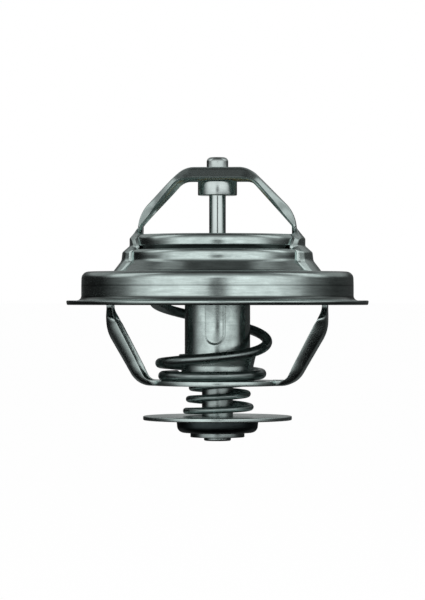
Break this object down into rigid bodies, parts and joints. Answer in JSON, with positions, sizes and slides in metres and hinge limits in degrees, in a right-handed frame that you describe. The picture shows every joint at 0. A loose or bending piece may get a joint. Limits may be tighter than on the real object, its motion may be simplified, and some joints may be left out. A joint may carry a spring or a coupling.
{
  "type": "engine thermostat",
  "caption": "Wax-element engine coolant valve in a drawn flanged housing, with a bridge above, a coil-spring frame below and a bypass disc on a stem.",
  "frame": {"origin": "on the axis, in the plane of the flange's underside", "axes": "+Z along the axis towards the bridge, X along the bridge and the bracket's legs"},
  "size_m": [0.067, 0.067, 0.0628],
  "materials": {
    "drawn_steel": "drawn stainless sheet with fine turning lines",
    "pressed_steel": "pressed stainless strap, tumbled edges",
    "spring_steel": "dark drawn spring wire",
    "turned_steel": "turned steel",
    "ground_steel": "ground and polished pin",
    "element_shell": "drawn cup, satin",
    "turned_brass": "turned brass",
    "black_steel": "dark phosphated pressing",
    "seal_rubber": "moulded rubber",
    "backup_plastic": "machined plastic ring",
    "wax": "pressed wax with copper powder"
  },
  "bodies": {
    "frame": {"housing": "drawn_steel", "upper_bridge": "pressed_steel", "pin_bush": "turned_steel", "piston_pin": "ground_steel", "lower_bracket": "pressed_steel", "main_spring": "spring_steel"},
    "element": {"element_cup": "element_shell", "element_guide": "turned_brass", "scraper_ring": "seal_rubber", "backup_ring": "backup_plastic", "rubber_sleeve": "seal_rubber", "wax_charge": "wax", "valve_plate": "drawn_steel", "valve_seal": "seal_rubber", "plate_ring": "turned_steel", "bypass_stem": "turned_steel", "retaining_washer": "black_steel", "bypass_spring": "spring_steel"},
    "bypass": {"bypass_disc": "pressed_steel", "disc_cup": "black_steel"}
  },
  "joints": [
    {"name": "valve_stroke", "type": "slide", "parent": "frame", "child": "element", "axis": [0, 0, -1], "range_m": [0, 0.008], "stiffness_N_per_m": 3000, "springref_m": -0.01, "deforming": ["main_spring"]},
    {"name": "bypass_yield", "type": "slide", "parent": "element", "child": "bypass", "axis": [0, 0, 1], "range_m": [0, 0.003], "stiffness_N_per_m": 1500, "springref_m": -0.004, "deforming": ["bypass_spring"]}
  ]
}
